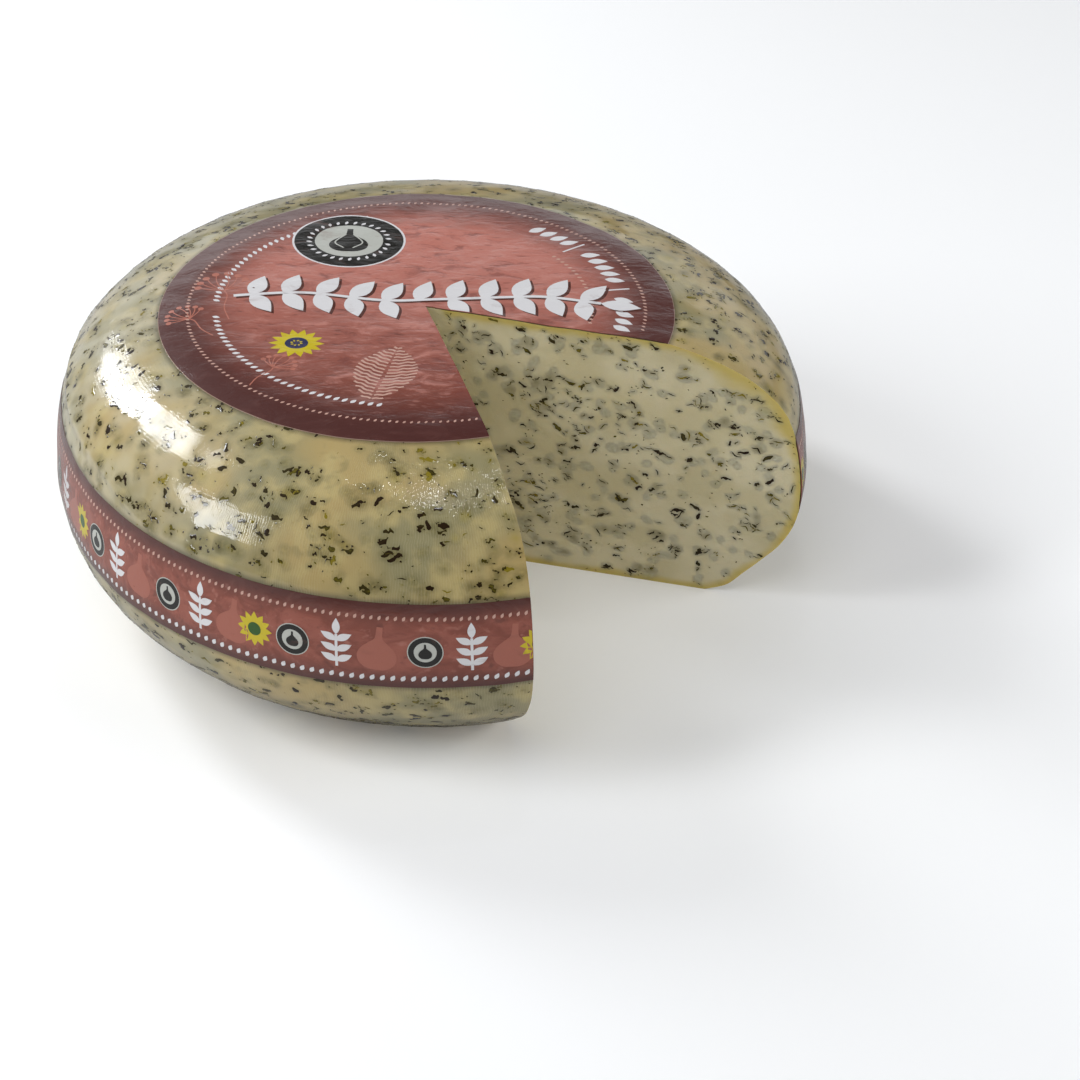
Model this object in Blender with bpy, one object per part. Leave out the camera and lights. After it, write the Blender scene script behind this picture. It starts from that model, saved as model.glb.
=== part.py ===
"""A round herb goat gouda with one wedge cut out, its printed top label and its printed side band.

The part stands on its flat base. +Z is up and the origin is on the wheel's axis at the base.
"""

import math

import bpy
import numpy as np

MM = 0.001

# The wheel before it was pressed out of true, in millimetres. The profile is a smooth curve
# through these radii and heights, from the rim of the flat base up to the middle of the top.
PROFILE = (
    (92.0, 0.0),
    (100.6, 3.2),
    (106.6, 8.6),
    (113.0, 14.8),
    (119.0, 22.0),
    (123.2, 30.4),
    (125.0, 40.0),
    (124.6, 49.4),
    (123.3, 58.8),
    (120.5, 68.0),
    (115.2, 76.2),
    (107.4, 82.1),
    (98.5, 85.9),
    (89.9, 88.5),
    (81.4, 90.6),
    (72.9, 91.8),
    (58.0, 92.0),
    (40.0, 91.9),
)
WHEEL_RADIUS = 125.0
WHEEL_HEIGHT = 92.0
PROFILE_STEPS = 2

# The press leaves a wheel a little oval outside its label, and taller on one side.
OVAL = 4.1
OVAL_LONG_AXIS_DEG = 94.5
OVAL_FROM_RADIUS = 84.0
OVAL_FULL_RADIUS = 114.0
TALLER_AT_MINUS_X = 2.8
TALLER_AT_MINUS_Y = 0.7

# The missing wedge: both cut planes are upright and meet a little off the wheel's axis.
CUT_APEX = (-1.5, -0.2)
CUT_CENTRE_DEG = -45.0
CUT_OPENING_DEG = 59.2
COLUMNS = 100

# The label and the band are thin prints that lie in shallow pockets of the wheel.
LABEL_CENTRE = (-4.2, 0.2)
LABEL_RADIUS = 81.2
LABEL_RINGS = (0.35, 0.7, 0.88, 1.0)
BAND_BOTTOM = 37.1
BAND_TOP = 64.2
BAND_ROWS = 6
PRINT_THICKNESS = 0.5
GAP = 0.3
POCKET_DEPTH = PRINT_THICKNESS + GAP


def smooth_profile(points, steps):
    """Points on a Catmull-Rom curve through the given ones, with so many steps in each span."""
    p = np.array(points, dtype=float)
    before = np.vstack([2 * p[0] - p[1], p[:-2]])
    after = np.vstack([p[2:], 2 * p[-1] - p[-2]])
    start, end = p[:-1], p[1:]
    spans = []
    for k in range(steps):
        t = k / steps
        straight = 2 * start + (end - before) * t
        bend = (2 * before - 5 * start + 4 * end - after) * t**2
        twist = (3 * start - before - 3 * end + after) * t**3
        spans.append(0.5 * (straight + bend + twist))
    curve = np.vstack([np.stack(spans, axis=1).reshape(-1, 2), p[-1:]])
    curve[:, 1] = np.maximum(curve[:, 1], 0.0)
    return curve


def smooth_step(value, low, high):
    """0 below low, 1 above high, and a smooth rise between."""
    t = np.clip((value - low) / (high - low), 0.0, 1.0)
    return t * t * (3 - 2 * t)


def press_out_of_true(points):
    """The same points on the wheel as pressed: oval round its side, and taller on one side.

    The stretch runs along rays from the cut's apex, so both cut faces stay flat.
    """
    x, y, z = np.array(points, dtype=float).T
    across = x - CUT_APEX[0]
    along = y - CUT_APEX[1]
    reach = smooth_step(np.hypot(x, y), OVAL_FROM_RADIUS, OVAL_FULL_RADIUS)
    turn = 2 * (np.arctan2(along, across) - math.radians(OVAL_LONG_AXIS_DEG))
    stretch = reach * OVAL / WHEEL_RADIUS * np.cos(turn)
    lean = -(TALLER_AT_MINUS_X * x + TALLER_AT_MINUS_Y * y) / WHEEL_RADIUS / WHEEL_HEIGHT
    return np.stack([x + across * stretch, y + along * stretch, z * (1 + lean)], axis=1)


def directions():
    """Angles from the cut's apex, from one cut plane round the cheese to the other."""
    half = math.radians(CUT_OPENING_DEG / 2)
    centre = math.radians(CUT_CENTRE_DEG)
    return np.linspace(centre + half, centre - half + 2 * math.pi, COLUMNS + 1)


def ray_to_circle(angle, centre, radius):
    """Distance from the cut's apex, along each angle, to a circle round it."""
    dx = CUT_APEX[0] - centre[0]
    dy = CUT_APEX[1] - centre[1]
    along = dx * np.cos(angle) + dy * np.sin(angle)
    return -along + np.sqrt(along**2 - dx**2 - dy**2 + radius**2)


def points_at(angle, distance, height):
    """One row of points at a distance from the cut's apex along each angle."""
    x = CUT_APEX[0] + distance * np.cos(angle)
    y = CUT_APEX[1] + distance * np.sin(angle)
    return np.stack([x, y, np.full(x.shape, float(height))], axis=1)


def side_row(angle, radius, height):
    """One row round the wheel at the profile's radius and height."""
    return points_at(angle, ray_to_circle(angle, (0.0, 0.0), radius), height)


def top_level(curve, x, y):
    """Height of the wheel's top over a point inside the flat."""
    top = curve[curve[:, 1] > BAND_TOP][::-1]
    return np.interp(np.hypot(x, y), top[:, 0], top[:, 1])


def label_row(angle, curve, share, radius, drop):
    """One row across the label's disc, at a share of the way out to its edge."""
    row = points_at(angle, ray_to_circle(angle, LABEL_CENTRE, radius) * share, 0.0)
    row[:, 2] = top_level(curve, row[:, 0], row[:, 1]) - drop
    return row


def profile_between(curve, low, high, rows):
    """Points of the side's profile at evenly spaced heights from low to high."""
    heights = np.linspace(low, high, rows + 1)
    radii = np.interp(heights, curve[:, 1], curve[:, 0])
    return np.stack([radii, heights], axis=1)


def move_inwards(points, distance):
    """The same profile moved into the wheel along its normals."""
    along = np.gradient(points, axis=0)
    along /= np.linalg.norm(along, axis=1, keepdims=True)
    normal = np.stack([along[:, 1], -along[:, 0]], axis=1)
    return points - normal * distance


def add_quads(faces, first, second):
    """Quads between two rows of points, given the number of each row's first point."""
    for j in range(COLUMNS):
        faces.append((first + j, first + j + 1, second + j + 1, second + j))


def material(name, colour, roughness):
    """A principled material of one colour."""
    made = bpy.data.materials.new(name)
    made.use_nodes = True
    shader = made.node_tree.nodes["Principled BSDF"]
    shader.inputs["Base Color"].default_value = (*colour, 1.0)
    shader.inputs["Roughness"].default_value = roughness
    shader.inputs["Metallic"].default_value = 0.0
    made.diffuse_color = (*colour, 1.0)
    return made


def add_object(name, points, faces, finish):
    """A smooth-shaded object with its outside facing out."""
    mesh = bpy.data.meshes.new(name)
    mesh.from_pydata((press_out_of_true(points) * MM).tolist(), [], faces)
    mesh.materials.append(finish)
    made = bpy.data.objects.new(name, mesh)
    bpy.context.scene.collection.objects.link(made)
    bpy.context.view_layer.objects.active = made
    made.select_set(True)
    bpy.ops.object.mode_set(mode="EDIT")
    bpy.ops.mesh.select_all(action="SELECT")
    bpy.ops.mesh.normals_make_consistent(inside=False)
    bpy.ops.object.mode_set(mode="OBJECT")
    mesh.shade_smooth()
    mesh.set_sharp_from_angle(angle=math.radians(35))
    made.select_set(False)


def add_cut_sheet(name, rows, upper, lower, finish):
    """A closed body cut by both planes: its skin's rows, ending at the apex above and below."""
    width = COLUMNS + 1
    count = len(rows)
    points = np.vstack([*rows, [(*CUT_APEX, upper)], [(*CUT_APEX, lower)]])
    above = count * width
    below = above + 1
    last = (count - 1) * width
    faces = [(above, j, j + 1) for j in range(COLUMNS)]
    for k in range(count - 1):
        add_quads(faces, k * width, (k + 1) * width)
    faces += [(below, last + j + 1, last + j) for j in range(COLUMNS)]
    faces.append((above, *range(0, count * width, width), below))
    faces.append((below, *range(last + COLUMNS, 0, -width), above))
    add_object(name, points, faces, finish)


def build_wheel(angle, curve):
    """The cheese, with a pocket for the label in its top and one for the band in its side."""
    pocket = LABEL_RADIUS + GAP
    rows = [label_row(angle, curve, share, pocket, POCKET_DEPTH) for share in LABEL_RINGS]
    rows.append(label_row(angle, curve, 1.0, pocket, 0.0))
    wall = profile_between(curve, BAND_BOTTOM - GAP, BAND_TOP + GAP, BAND_ROWS)
    floor = move_inwards(wall, POCKET_DEPTH)
    shoulder = curve[(curve[:, 1] > BAND_TOP + 2) & (curve[:, 0] > LABEL_RADIUS + 6)]
    heel = curve[curve[:, 1] < BAND_BOTTOM - 2]
    skin = np.vstack([heel, wall[:1], floor, wall[-1:], shoulder])
    for radius, height in skin[::-1]:
        rows.append(side_row(angle, radius, height))
    level = top_level(curve, *CUT_APEX) - POCKET_DEPTH
    finish = material("cheese", (0.63, 0.56, 0.36), 0.35)
    add_cut_sheet("cheese_wheel", rows, level, 0.0, finish)


def build_label(angle, curve):
    """The round print on top, cut along with the cheese."""
    face = [label_row(angle, curve, share, LABEL_RADIUS, 0.0) for share in LABEL_RINGS]
    back = [row - (0.0, 0.0, PRINT_THICKNESS) for row in face[::-1]]
    level = top_level(curve, *CUT_APEX)
    finish = material("label_print", (0.30, 0.09, 0.06), 0.4)
    add_cut_sheet("top_label", face + back, level, level - PRINT_THICKNESS, finish)


def build_band(angle, curve):
    """The printed strip round the side, cut along with the cheese."""
    width = COLUMNS + 1
    face = profile_between(curve, BAND_BOTTOM, BAND_TOP, BAND_ROWS)
    back = move_inwards(face, PRINT_THICKNESS)[::-1]
    loop = np.vstack([face, back])
    count = len(loop)
    points = np.vstack([side_row(angle, radius, height) for radius, height in loop])
    faces = []
    for k in range(count):
        add_quads(faces, k * width, (k + 1) % count * width)
    faces.append(tuple(range(0, count * width, width)))
    faces.append(tuple(range((count - 1) * width + COLUMNS, 0, -width)))
    finish = material("band_print", (0.33, 0.10, 0.07), 0.4)
    add_object("side_band", points, faces, finish)


for old in list(bpy.data.objects):
    bpy.data.objects.remove(old, do_unlink=True)

cut_angles = directions()
wheel_curve = smooth_profile(PROFILE, PROFILE_STEPS)
build_wheel(cut_angles, wheel_curve)
build_label(cut_angles, wheel_curve)
build_band(cut_angles, wheel_curve)
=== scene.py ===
"""The looks of a herb goat gouda with one wedge cut out: rind, cut paste, herbs and prints."""

import math

import bmesh
import bpy
import numpy as np
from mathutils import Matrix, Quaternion, Vector
from mathutils.geometry import delaunay_2d_cdt


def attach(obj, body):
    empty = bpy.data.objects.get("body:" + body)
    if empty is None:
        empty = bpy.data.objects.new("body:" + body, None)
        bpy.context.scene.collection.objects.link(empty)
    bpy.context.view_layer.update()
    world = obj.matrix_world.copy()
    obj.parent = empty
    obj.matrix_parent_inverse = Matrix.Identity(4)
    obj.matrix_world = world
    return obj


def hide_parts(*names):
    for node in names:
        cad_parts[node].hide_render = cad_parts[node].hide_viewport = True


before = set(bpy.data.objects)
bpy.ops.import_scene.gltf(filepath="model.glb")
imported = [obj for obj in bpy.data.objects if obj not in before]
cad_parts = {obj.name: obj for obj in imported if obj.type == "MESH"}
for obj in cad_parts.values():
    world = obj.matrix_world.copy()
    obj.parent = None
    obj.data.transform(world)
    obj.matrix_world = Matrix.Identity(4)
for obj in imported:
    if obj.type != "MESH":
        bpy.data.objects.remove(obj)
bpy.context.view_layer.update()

# The studio. A long lens looks down on the cheese, square to it. A tall soft box stands behind it
# at the left, a larger one leans in from the left, and a small lamp overhead makes the glints.
# A wide low light whitens the backdrop, and the floor is a sheet of matt white board.
MM = 0.001
CAMERA_PLACE = (34.5, -738.3, 496.8)
CAMERA_DOWN_DEG = 33.8
CAMERA_LENS = 88.8
SENSOR_WIDTH = 36.0
LIGHT_TARGET = (-30.0, -20.0, 60.0)
LIGHT_COLOUR = (0.955, 0.975, 1.0)
WORLD_GREY = 0.13
FLOOR_SIDE = 30.0
FLOOR_GLOW = 0.10
FLOOR_DIMMED_IN_GLOSS = 0.6

# Each light's azimuth, elevation and lean in degrees, its distance, width and height in metres,
# and its watts. The two fills are kept out of the gloss, as by a polarising filter.
LIGHTS = {
    "back_soft_box": ((136.5, 32.5, -8.0), 1.3, (0.26, 0.64), 9.0),
    "side_soft_box": ((194.0, 36.6, 32.0), 1.3, (0.37, 0.74), 9.4),
    "top_soft_box": ((75.0, 71.0, 0.0), 1.3, (0.08, 0.03), 0.36),
    "backdrop_light": ((90.0, 14.0, 0.0), 1.7, (3.0, 0.5), 3.7),
    "front_fill": ((255.0, 60.0, 0.0), 1.6, (0.9, 0.9), 5.6),
    "right_fill": ((-10.0, 22.0, 0.0), 1.5, (1.0, 0.5), 10.0),
}


def srgb(code):
    """A hex colour as linear red, green and blue: the sRGB curve undone."""
    parts = [int(code[k : k + 2], 16) / 255 for k in (1, 3, 5)]
    return tuple(c / 12.92 if c <= 0.04045 else ((c + 0.055) / 1.055) ** 2.4 for c in parts)


def add(tree, kind, *values, out=None, **settings):
    """Adds a shader node with these settings and gives its first output, or the one named by out.

    The values go to its live inputs in turn. A socket is linked, a hex code is turned to a colour,
    and None leaves an input as it was.
    """
    made = tree.nodes.new("ShaderNode" + kind)
    for name, value in settings.items():
        setattr(made, name, value)
    for socket, value in zip([socket for socket in made.inputs if socket.enabled], values):
        if isinstance(value, bpy.types.NodeSocket):
            tree.links.new(value, socket)
        elif value is not None:
            socket.default_value = (*srgb(value), 1.0) if isinstance(value, str) else value
    return next(socket for socket in made.outputs if socket.enabled and out in (None, socket.name))


def finish(name, sockets):
    """A material with a principled shader set as given: the material, its nodes and the shader."""
    made = bpy.data.materials.new(name)
    made.use_nodes = True
    shader = made.node_tree.nodes["Principled BSDF"]
    for key, value in sockets.items():
        shader.inputs[key].default_value = value
    return made, made.node_tree, shader


camera_data = bpy.data.cameras.new("camera")
camera_data.lens = CAMERA_LENS
camera_data.sensor_width = SENSOR_WIDTH
camera_data.clip_start = 0.01
camera = bpy.data.objects.new("camera", camera_data)
camera.location = Vector(CAMERA_PLACE) * MM
camera.rotation_euler = (math.radians(90 - CAMERA_DOWN_DEG), 0.0, 0.0)
bpy.context.scene.collection.objects.link(camera)
bpy.context.scene.camera = camera
bpy.context.scene.view_settings.view_transform = "Standard"

for name, (stand, distance, size, watts) in LIGHTS.items():
    turn, up, lean = (math.radians(angle) for angle in stand)
    away = Vector((math.cos(turn) * math.cos(up), math.sin(turn) * math.cos(up), math.sin(up)))
    light = bpy.data.lights.new(name, "AREA")
    light.shape = "RECTANGLE"
    light.size, light.size_y = size
    light.energy = watts
    light.color = LIGHT_COLOUR
    lamp = bpy.data.objects.new(name, light)
    lamp.location = Vector(LIGHT_TARGET) * MM + away * distance
    facing = away.to_track_quat("Z", "Y") @ Quaternion((0.0, 0.0, 1.0), lean)
    lamp.rotation_euler = facing.to_euler()
    lamp.visible_glossy = not name.endswith("fill")
    bpy.context.scene.collection.objects.link(lamp)

world = bpy.data.worlds.new("studio")
world.use_nodes = True
world.node_tree.nodes["Background"].inputs["Color"].default_value = (WORLD_GREY,) * 3 + (1.0,)
bpy.context.scene.world = world
world.cycles_visibility.glossy = False

board, tree, shader = finish("matt_white_board", {
    "Base Color": (*srgb("#f4f4f4"), 1.0),
    "Roughness": 0.9,
    "Specular IOR Level": 0.1,
    "Emission Color": (1.0, 1.0, 1.0, 1.0),
    "Emission Strength": FLOOR_GLOW,
})
ray = add(tree, "LightPath", out="Is Glossy Ray")
dimmed = add(tree, "Math", ray, FLOOR_DIMMED_IN_GLOSS, operation="MULTIPLY")
mixed = add(tree, "MixShader", dimmed, shader.outputs[0])
tree.links.new(mixed, tree.nodes["Material Output"].inputs["Surface"])
floor_mesh = bpy.data.meshes.new("floor")
half = FLOOR_SIDE / 2
corners = [(-half, -half, 0), (half, -half, 0), (half, half, 0), (-half, half, 0)]
floor_mesh.from_pydata(corners, [], [(0, 1, 2, 3)])
floor_mesh.materials.append(board)
floor = bpy.data.objects.new("floor", floor_mesh)
bpy.context.scene.collection.objects.link(floor)

# The wheel's form. A whole goat gouda is pressed in a round mould with a lid, which gives it a
# flat top and base and rounded shoulders. It comes out a little oval, and taller on one side.
# The profile is a smooth curve from the rim of the flat base up to the flat top, in millimetres.
PROFILE = (
    (92.0, 0.0),
    (100.6, 3.2),
    (106.6, 8.6),
    (113.0, 14.8),
    (119.0, 22.0),
    (123.2, 30.4),
    (125.0, 40.0),
    (124.6, 49.4),
    (123.3, 58.8),
    (120.5, 68.0),
    (115.2, 76.2),
    (107.4, 82.1),
    (98.5, 85.9),
    (89.9, 88.5),
    (81.4, 90.6),
    (72.9, 91.8),
    (58.0, 92.0),
    (40.0, 91.9),
)
WHEEL_RADIUS = 125.0
WHEEL_HEIGHT = 92.0
PROFILE_STEPS = 12
OVAL = 4.1
OVAL_LONG_AXIS_DEG = 94.5
OVAL_FROM_RADIUS = 84.0
OVAL_FULL_RADIUS = 114.0
TALLER_AT_MINUS_X = 2.8
TALLER_AT_MINUS_Y = 0.7
CUT_APEX = (-1.5, -0.2)
CUT_CENTRE_DEG = -45.0
CUT_OPENING_DEG = 59.2
SHARP_EDGE_DEG = 35.0


def smooth_profile(points, steps):
    """Points on a Catmull-Rom curve through the given ones, with so many steps in each span."""
    p = np.array(points, dtype=float)
    before = np.vstack([2 * p[0] - p[1], p[:-2]])
    after = np.vstack([p[2:], 2 * p[-1] - p[-2]])
    start, end = p[:-1], p[1:]
    spans = []
    for k in range(steps):
        t = k / steps
        straight = 2 * start + (end - before) * t
        bend = (2 * before - 5 * start + 4 * end - after) * t**2
        twist = (3 * start - before - 3 * end + after) * t**3
        spans.append(0.5 * (straight + bend + twist))
    return np.vstack([np.stack(spans, axis=1).reshape(-1, 2), p[-1:]])


def smooth_step(value, low, high):
    """0 below low, 1 above high, and a smooth rise between: t squared times (3 minus 2t)."""
    t = np.clip((value - low) / (high - low), 0.0, 1.0)
    return t * t * (3 - 2 * t)


def press_out_of_true(x, y, z):
    """The wheel's points as pressed: stretched along rays from the cut's apex, and leaning."""
    across = x - CUT_APEX[0]
    along = y - CUT_APEX[1]
    reach = smooth_step(np.hypot(x, y), OVAL_FROM_RADIUS, OVAL_FULL_RADIUS)
    turn = 2 * (np.arctan2(along, across) - math.radians(OVAL_LONG_AXIS_DEG))
    stretch = reach * OVAL / WHEEL_RADIUS * np.cos(turn)
    lean = -(TALLER_AT_MINUS_X * x + TALLER_AT_MINUS_Y * y) / WHEEL_RADIUS / WHEEL_HEIGHT
    return x + across * stretch, y + along * stretch, z * (1 + lean)


def cut_angles(columns):
    """Angles from the cut's apex, from one cut plane round the cheese to the other."""
    opening = math.radians(CUT_OPENING_DEG / 2)
    centre = math.radians(CUT_CENTRE_DEG)
    return np.linspace(centre + opening, centre - opening + 2 * math.pi, columns + 1)


def ray_to_circle(angle, centre, radius):
    """Distance from the cut's apex, along each angle, to a circle round it."""
    dx = CUT_APEX[0] - centre[0]
    dy = CUT_APEX[1] - centre[1]
    along = dx * np.cos(angle) + dy * np.sin(angle)
    return -along + np.sqrt(np.maximum(along**2 - dx**2 - dy**2 + radius**2, 0.0))


def grid_quads(rows, columns, first=0):
    """Quads of a grid of points numbered row by row, with so many points each way."""
    k = np.arange(rows - 1)[:, None] * columns
    j = np.arange(columns - 1)[None, :]
    corner = (first + k + j).ravel()
    return np.stack([corner, corner + 1, corner + columns + 1, corner + columns], axis=1)


def make_piece(name, points, faces, finishes, slots=None):
    """A smooth-shaded piece at the origin from points in metres and arrays of faces.

    Its faces are turned outwards, and edges sharper than the angle named above stay sharp.
    """
    mesh = bpy.data.meshes.new(name)
    mesh.from_pydata(points, [], [corners for group in faces for corners in group.tolist()])
    for made_of in finishes:
        mesh.materials.append(made_of)
    if slots is not None:
        mesh.polygons.foreach_set("material_index", slots.astype(np.int32))
    turned = bmesh.new()
    turned.from_mesh(mesh)
    bmesh.ops.recalc_face_normals(turned, faces=turned.faces)
    turned.to_mesh(mesh)
    turned.free()
    mesh.shade_smooth()
    mesh.set_sharp_from_angle(angle=math.radians(SHARP_EDGE_DEG))
    made = bpy.data.objects.new(name, mesh)
    bpy.context.scene.collection.objects.link(made)
    return made


def store(piece, name, values):
    """Keeps one number for each point of a piece, which its material reads by this name."""
    layer = piece.data.attributes.new(name, "FLOAT", "POINT")
    layer.data.foreach_set("value", np.asarray(values, dtype=np.float32).ravel())


# The cheese: one closed body. Its rind is the paste's dried skin, with the ripple that a pressed
# curd keeps, a low crease where the mould's lid met its wall, and shallow beds for the prints.
# The two upright cuts are left almost flat by the knife.
COLUMNS = 400
BED_ROWS = 40
SHOULDER_ROWS = 34
SIDE_ROWS = 66
HEEL_ROWS = 30
BASE_ROWS = BED_ROWS + SHOULDER_ROWS + 1 - HEEL_ROWS
LABEL_CENTRE = (-4.2, 0.2)
LABEL_RADIUS = 81.2
BAND_BOTTOM = 37.1
BAND_TOP = 64.2
BED_DEPTH = 0.4
BED_RIM = (0.3, 2.2)
BED_END_RADIUS = 73.0
SHOULDER_END = 76.0
HEEL_START = 12.0
WALL_FROM_RADIUS = 90
NOT_ON_TOP = -200.0
INNERMOST_RADIUS = 6.0
INNERMOST_HEIGHT = 91.8
SKIN_INSET = 0.5
RIM_WIDEST_AT = (106.0, 78.0)
RIM_WIDEST_REACH = (20.0, 16.0)

# Each set of waves has a longest and a shortest in millimetres, a count and a seed.
RIPPLE_WAVES = (70.0, 9.0, 36, 11)
RIPPLE_HEIGHT = 0.013
KNIFE_WAVES = (60.0, 8.0, 16, 23)
KNIFE_HEIGHT = 0.07

# Where the crease dips, shows best and is faint: the middle in degrees round the wheel, and the
# cosines of the angles from it at which that starts and is full.
CREASE_DIPS = (-112, 0.83, 0.96)
CREASE_SHOWS = (-160, 0.2, 0.85)
CREASE_FADES = (-75, 0.75, 0.97)
CREASE_HEIGHT = 71.0
CREASE_SIZE = 0.7
CREASE_DIP = 4.4
CREASE_REACH = 5.0
CREASE_STEP = 2.2

profile = smooth_profile(PROFILE, PROFILE_STEPS)
profile = np.vstack([profile, [(INNERMOST_RADIUS, INNERMOST_HEIGHT)]])
profile[:, 1] = np.maximum(profile[:, 1], 0.0)
profile_length = np.concatenate([[0], np.cumsum(np.hypot(*np.diff(profile, axis=0).T))])
profile_slope = np.gradient(profile, axis=0)
profile_slope /= np.linalg.norm(profile_slope, axis=1, keepdims=True)
top_profile = profile[profile[:, 1] > BAND_TOP + 4][::-1]


def waves(places, longest, shortest, count, seed):
    """A sum of sine waves in seeded directions, each as high as the square root of its length."""
    draw = np.random.default_rng(seed)
    total = 0
    for length in np.geomspace(longest, shortest, count):
        way = draw.normal(size=len(places))
        way *= 2 * math.pi / length / np.linalg.norm(way)
        along = sum(w * place for w, place in zip(way, places))
        total = total + math.sqrt(length / shortest) * np.sin(along + draw.uniform(0, 7))
    return total


def near(angle, middle_deg, low, high):
    """1 near a direction and 0 away from it: a smooth step of the cosine of the angle between."""
    return smooth_step(np.cos(angle - math.radians(middle_deg)), low, high)


def crease_line(angle):
    """The height of the lid's line round the wheel. It dips at the front left."""
    return CREASE_HEIGHT - CREASE_DIP * near(angle, *CREASE_DIPS)


def crease(angle, height):
    """The lid's line: a low ridge round the shoulder, steep below and best seen at the left."""
    strength = 0.35 + 0.65 * near(angle, *CREASE_SHOWS)
    strength = strength * (1 - 0.7 * near(angle, *CREASE_FADES))
    below = crease_line(angle) - height
    upper = np.clip(1 + below / CREASE_REACH, 0, 1) ** 2
    lip = np.where(below < 0, upper, 1 - smooth_step(below, 0.0, CREASE_STEP))
    return strength * CREASE_SIZE * lip


def skin_height(angle, x, y, height, lift):
    """How far the skin stands out from the smooth profile: inset, ripple, crease and a lift."""
    ripple = waves((x, y, height), *RIPPLE_WAVES)
    raised = np.clip(RIPPLE_HEIGHT * ripple, -SKIN_INSET, SKIN_INSET * 0.7) + crease(angle, height)
    return (raised - SKIN_INSET) * smooth_step(height, 0.0, 6.0) + lift


def side_skin(angle, length, lift=0.0):
    """Points of the skin at an angle from the cut's apex and so many millimetres up the profile."""
    radius = np.interp(length, profile_length, profile[:, 0])
    height = np.interp(length, profile_length, profile[:, 1])
    radial = np.interp(length, profile_length, profile_slope[:, 1])
    upward = -np.interp(length, profile_length, profile_slope[:, 0])
    reach = ray_to_circle(angle, (0.0, 0.0), radius)
    x = CUT_APEX[0] + reach * np.cos(angle)
    y = CUT_APEX[1] + reach * np.sin(angle)
    out = skin_height(angle, x, y, height + 0 * x, lift)
    x = x + out * radial * np.cos(angle)
    y = y + out * radial * np.sin(angle)
    return np.stack(press_out_of_true(x, y, height + out * upward), axis=-1)


def top_skin(x, y, lift=0.0):
    """Points of the skin over the flat top, under given places."""
    height = np.interp(np.hypot(x, y), top_profile[:, 0], top_profile[:, 1])
    out = skin_height(np.arctan2(y, x), x, y, height, lift)
    return np.stack(press_out_of_true(x, y, height + out), axis=-1)


def length_at(height):
    """Millimetres up the profile at a height of the wheel's side."""
    side = profile[:, 0] > WALL_FROM_RADIUS
    return np.interp(height, profile[side, 1], profile_length[side])


def inside_label(points):
    """Millimetres from the label's edge to points on the skin, positive under the label."""
    across = points[..., 0] - LABEL_CENTRE[0]
    along = points[..., 1] - LABEL_CENTRE[1]
    on_top = np.where(points[..., 2] > BAND_TOP + 6, 0.0, NOT_ON_TOP)
    return LABEL_RADIUS - np.hypot(across, along) + on_top


def inside_band(length):
    """Millimetres from the band's nearer edge, positive under the band."""
    return np.minimum(length - length_at(BAND_BOTTOM), length_at(BAND_TOP) - length)


def edge_of_prints(points, length):
    """Millimetres from the nearer print's edge to points on the skin, positive under the print."""
    return np.maximum(inside_label(points), inside_band(length))


def coons(top, bottom, left, right):
    """A patch between four edges: the surfaces ruled between facing edges, less the corners'."""
    s = np.linspace(0, 1, len(top))[None, :, None]
    t = np.linspace(0, 1, len(left))[:, None, None]
    ruled = (1 - t) * top[None] + t * bottom[None] + (1 - s) * left[:, None] + s * right[:, None]
    upper = (1 - s) * top[0] + s * top[-1]
    lower = (1 - s) * bottom[0] + s * bottom[-1]
    return ruled - (1 - t) * upper - t * lower


def knife_marks(reach, height, rim):
    """The low waves that a knife leaves in a cut, fading out at the cut's outline."""
    marks = waves((reach, height), *KNIFE_WAVES) * KNIFE_HEIGHT / 6
    return (marks - KNIFE_HEIGHT) * smooth_step(rim, 0.0, 7.0)


def rim_distance(reach, height, outline):
    """Millimetres from points of a cut to the nearest point of its outline."""
    away = np.hypot(reach[..., None] - outline[:, 0], height[..., None] - outline[:, 1])
    return away.min(axis=-1)


def look_of_rim(rim, reach, height):
    """The depth below the rind as the paste's colour shows it: the rim is widest at the shoulder."""
    along = (reach - RIM_WIDEST_AT[0]) / RIM_WIDEST_REACH[0]
    upward = (height - RIM_WIDEST_AT[1]) / RIM_WIDEST_REACH[1]
    return rim / (0.5 + 1.1 * np.exp(-(along**2) - upward**2))


angles = cut_angles(COLUMNS)
bed_end = np.interp(BED_END_RADIUS, profile[::-1, 0], profile_length[::-1])
shoulder_end = length_at(SHOULDER_END)
heel_start = length_at(HEEL_START)
row_lengths = np.concatenate([
    np.linspace(profile_length[-1], bed_end, BED_ROWS, endpoint=False),
    np.linspace(bed_end, shoulder_end, SHOULDER_ROWS, endpoint=False),
    np.linspace(shoulder_end, heel_start, SIDE_ROWS, endpoint=False),
    np.linspace(heel_start, 0.0, HEEL_ROWS),
])[:, None]
level = side_skin(angles, row_lengths)
bed_label = smooth_step(inside_label(level), *BED_RIM)
bed_band = smooth_step(inside_band(row_lengths), *BED_RIM)
side_rings = side_skin(angles, row_lengths, -BED_DEPTH * np.maximum(bed_label, bed_band))
base_radius = np.linspace(PROFILE[0][0], INNERMOST_RADIUS, BASE_ROWS + 1)[1:, None]
base_reach = ray_to_circle(angles, (0.0, 0.0), base_radius)
base_rings = np.stack(press_out_of_true(
    CUT_APEX[0] + base_reach * np.cos(angles),
    CUT_APEX[1] + base_reach * np.sin(angles),
    0 * base_reach,
), axis=-1)
rings = np.concatenate([side_rings, base_rings])
ring_count = len(rings)
ring_size = COLUMNS + 1
shoulder_row = BED_ROWS + SHOULDER_ROWS
heel_row = shoulder_row + SIDE_ROWS

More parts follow.
